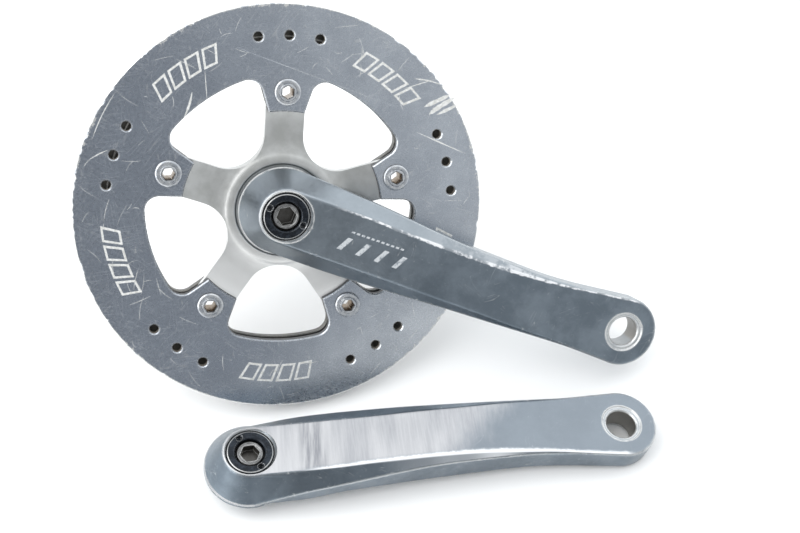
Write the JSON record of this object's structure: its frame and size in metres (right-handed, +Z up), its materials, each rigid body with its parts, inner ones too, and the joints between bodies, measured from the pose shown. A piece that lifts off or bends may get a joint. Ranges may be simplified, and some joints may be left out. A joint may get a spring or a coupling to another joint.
{
  "type": "bicycle crankset",
  "caption": "Bicycle crankset: right crank arm on a five-arm spider with chainring and drilled guard ring, and a loose left crank arm, each with a captive crank bolt.",
  "frame": {"origin": "on the drive side's spindle axis, at the inboard face of its hub", "axes": "+Z up from the surface the left arm lies on; +X to the right, across the front; the drive side's spindle axis lies in the YZ plane, its outboard end towards -Y and up"},
  "size_m": [0.2649, 0.1928, 0.154],
  "materials": {
    "arm_anodised": "satin grey anodised, worn at the edges",
    "left_arm_silver": "grey anodised, rubbed to bare metal on the face",
    "guard_anodised": "scratched grey anodised",
    "spider_silver": "bead-blasted silver",
    "ring_black": "black anodised",
    "bright_steel": "bright",
    "bolt_steel": "dark, handled",
    "cap_black": "black gloss"
  },
  "bodies": {
    "drive_side": {"right_crank_arm": "arm_anodised", "spider": "spider_silver", "spider_lockring": "bolt_steel", "bash_guard": "guard_anodised", "chainring": "ring_black", "chainring_bolt_1": "bright_steel", "chainring_bolt_2": "bright_steel", "chainring_bolt_3": "bright_steel", "chainring_bolt_4": "bright_steel", "chainring_bolt_5": "bright_steel", "chainring_nut_1": "bright_steel", "chainring_nut_2": "bright_steel", "chainring_nut_3": "bright_steel", "chainring_nut_4": "bright_steel", "chainring_nut_5": "bright_steel", "right_extractor_cap": "cap_black"},
    "right_washer": {"right_bolt_washer": "bright_steel"},
    "right_bolt": {"right_crank_bolt": "bolt_steel"},
    "left_side": {"left_crank_arm": "left_arm_silver", "left_extractor_cap": "cap_black"},
    "left_washer": {"left_bolt_washer": "bright_steel"},
    "left_bolt": {"left_crank_bolt": "bolt_steel"}
  },
  "joints": [
    {"name": "right_washer_float", "type": "slide", "parent": "drive_side", "child": "right_washer", "axis": [0, -0.7826, 0.6225], "range_m": [0, 0.0008]},
    {"name": "right_bolt_spin", "type": "hinge", "parent": "right_washer", "child": "right_bolt", "pos_m": [0, 0, 0], "axis": [0, -0.7826, 0.6225], "continuous": true},
    {"name": "left_arm_lift", "type": "slide", "parent": "drive_side", "child": "left_side", "axis": [0, 0, 1], "range_m": [0, 0.15]},
    {"name": "left_washer_float", "type": "slide", "parent": "left_side", "child": "left_washer", "axis": [0.0942, -0.0117, 0.9955], "range_m": [0, 0.0008]},
    {"name": "left_bolt_spin", "type": "hinge", "parent": "left_washer", "child": "left_bolt", "pos_m": [-0.0363, -0.1017, -0.05622], "axis": [0.0942, -0.0117, 0.9955], "continuous": true}
  ]
}
